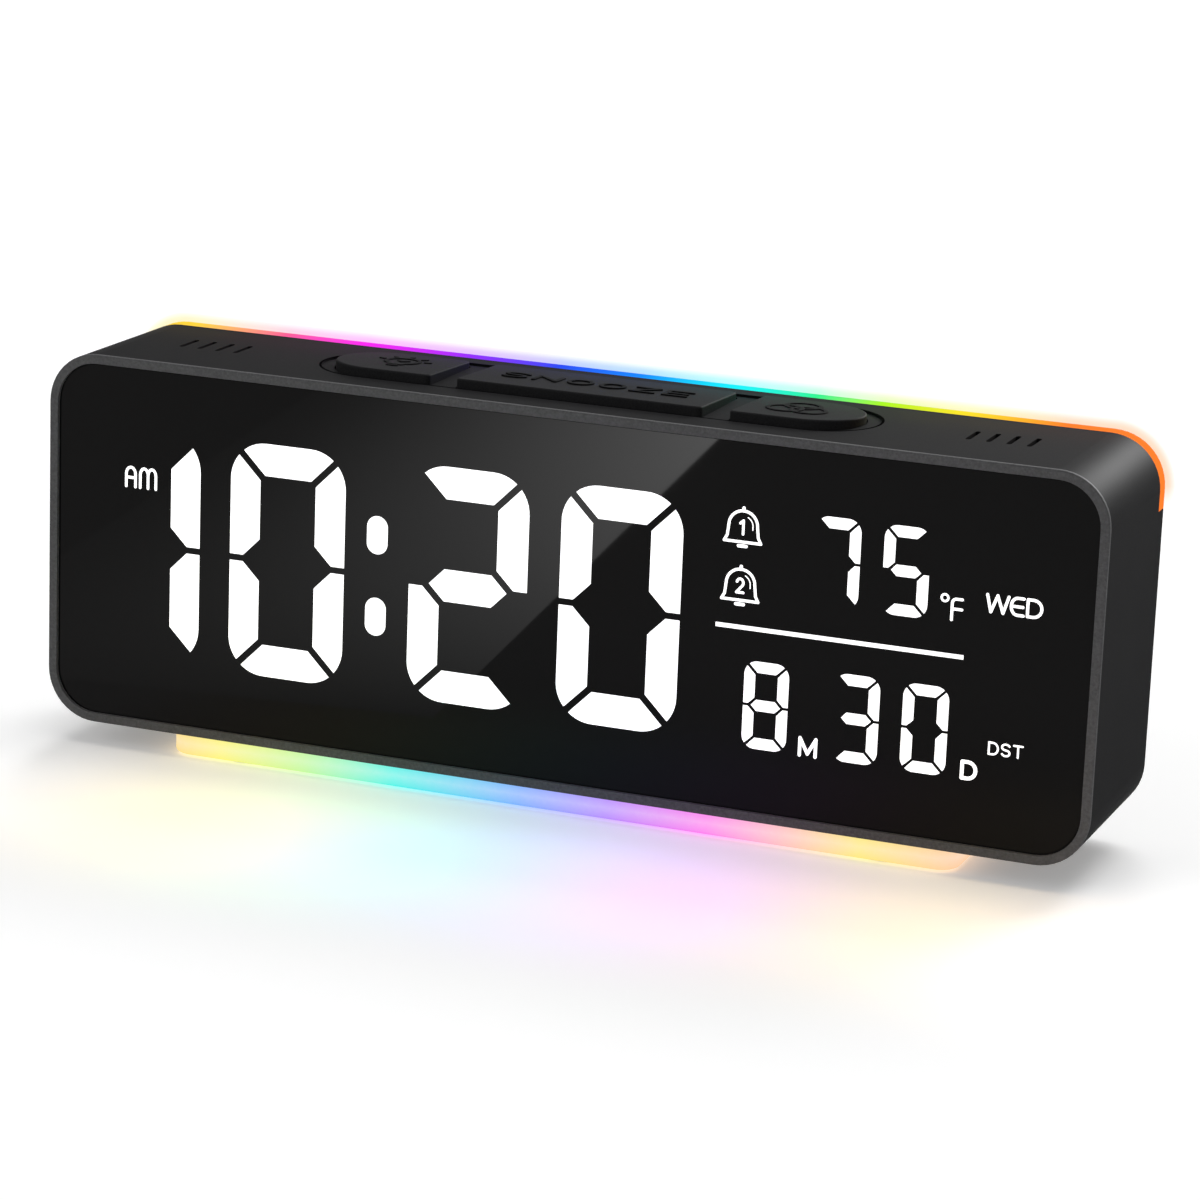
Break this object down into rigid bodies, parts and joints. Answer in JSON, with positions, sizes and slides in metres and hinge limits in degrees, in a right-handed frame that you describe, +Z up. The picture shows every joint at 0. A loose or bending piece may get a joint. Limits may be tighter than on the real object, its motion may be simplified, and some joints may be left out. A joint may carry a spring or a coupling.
{
  "type": "digital alarm clock",
  "caption": "Long low digital alarm clock with a black mirror front, white lit numerals, keys along the top, a rainbow light band round the rear top edge and a rainbow light bar as its foot",
  "frame": {"origin": "on the table, under the middle of the body, at the centre of the bottom of the overall box", "axes": "+X to the right seen from the front, +Y to the rear, +Z up"},
  "size_m": [0.2, 0.0374, 0.0759],
  "materials": {
    "rim_grey": "fine-grained grey",
    "shell_black": "matt black",
    "panel_black": "glossy black",
    "lit_white": "lit from behind",
    "guide_light": "clear light guide, lit in rainbow colours",
    "bar_light": "frosted light bar, lit in rainbow colours",
    "key_black": "matt black",
    "plunger_white": "moulded",
    "switch_black": "moulded",
    "moulding_white": "moulded",
    "board_green": "coated circuit board",
    "chip_black": "moulded",
    "lamp_white": "small lamps on a white strip",
    "cable_white": "flat cable",
    "screw_steel": "plain steel",
    "socket_steel": "plated steel",
    "contact_plate": "nickel plated",
    "cell_jacket": "plain printed jacket",
    "foot_rubber": "matt"
  },
  "bodies": {
    "clock_body": {"base_led_strip": "lamp_white", "base_light_bar": "bar_light", "base_screws": "screw_steel", "battery_cells": "cell_jacket", "battery_contacts": "contact_plate", "board_connector": "moulding_white", "button_board": "board_green", "button_board_screws": "screw_steel", "button_cable": "cable_white", "buzzer": "switch_black", "colon_dots": "lit_white", "date_digits": "lit_white", "display_board": "board_green", "display_driver": "chip_black", "display_leds": "lamp_white", "display_screws": "screw_steel", "divider_line": "lit_white", "front_frame": "rim_grey", "hour_digits": "lit_white", "light_box": "moulding_white", "main_board": "board_green", "main_board_screws": "screw_steel", "main_chip": "chip_black", "main_housing": "shell_black", "minute_digits": "lit_white", "mirror_panel": "panel_black", "power_socket": "socket_steel", "rear_cover": "shell_black", "rear_screws": "screw_steel", "rear_switches": "switch_black", "rubber_feet": "foot_rubber", "temperature_digits": "lit_white", "temperature_sensor": "board_green", "top_led_strip": "lamp_white", "top_light_guide": "guide_light", "top_switches": "switch_black"},
    "light_key": {"light_button": "key_black", "light_plunger": "plunger_white"},
    "snooze_key": {"snooze_button": "key_black", "snooze_plunger": "plunger_white"},
    "colour_key": {"colour_button": "key_black", "colour_plunger": "plunger_white"},
    "mode_key": {"mode_button": "key_black", "mode_plunger": "plunger_white"},
    "up_key": {"up_button": "key_black", "up_plunger": "plunger_white"},
    "down_key": {"down_button": "key_black", "down_plunger": "plunger_white"},
    "alarm_key": {"alarm_button": "key_black", "alarm_plunger": "plunger_white"},
    "brightness_key": {"brightness_button": "key_black", "brightness_plunger": "plunger_white"},
    "battery_flap": {"battery_door": "shell_black"}
  },
  "joints": [
    {"name": "light_press", "type": "slide", "parent": "clock_body", "child": "light_key", "axis": [0, 0, -1], "range_m": [0, 0.0006], "stiffness_N_per_m": 1200, "springref_m": -0.0003},
    {"name": "snooze_press", "type": "slide", "parent": "clock_body", "child": "snooze_key", "axis": [0, 0, -1], "range_m": [0, 0.0006], "stiffness_N_per_m": 1200, "springref_m": -0.0003},
    {"name": "colour_press", "type": "slide", "parent": "clock_body", "child": "colour_key", "axis": [0, 0, -1], "range_m": [0, 0.0006], "stiffness_N_per_m": 1200, "springref_m": -0.0003},
    {"name": "mode_press", "type": "slide", "parent": "clock_body", "child": "mode_key", "axis": [0, -1, 0], "range_m": [0, 0.0006], "stiffness_N_per_m": 1200, "springref_m": -0.0003},
    {"name": "up_press", "type": "slide", "parent": "clock_body", "child": "up_key", "axis": [0, -1, 0], "range_m": [0, 0.0006], "stiffness_N_per_m": 1200, "springref_m": -0.0003},
    {"name": "down_press", "type": "slide", "parent": "clock_body", "child": "down_key", "axis": [0, -1, 0], "range_m": [0, 0.0006], "stiffness_N_per_m": 1200, "springref_m": -0.0003},
    {"name": "alarm_press", "type": "slide", "parent": "clock_body", "child": "alarm_key", "axis": [0, -1, 0], "range_m": [0, 0.0006], "stiffness_N_per_m": 1200, "springref_m": -0.0003},
    {"name": "brightness_press", "type": "slide", "parent": "clock_body", "child": "brightness_key", "axis": [0, -1, 0], "range_m": [0, 0.0006], "stiffness_N_per_m": 1200, "springref_m": -0.0003},
    {"name": "battery_flap_hinge", "type": "hinge", "parent": "clock_body", "child": "battery_flap", "pos_m": [-0.028, 0.01665, 0.0275], "axis": [-1, 0, 0], "range_deg": [0, 85]}
  ]
}
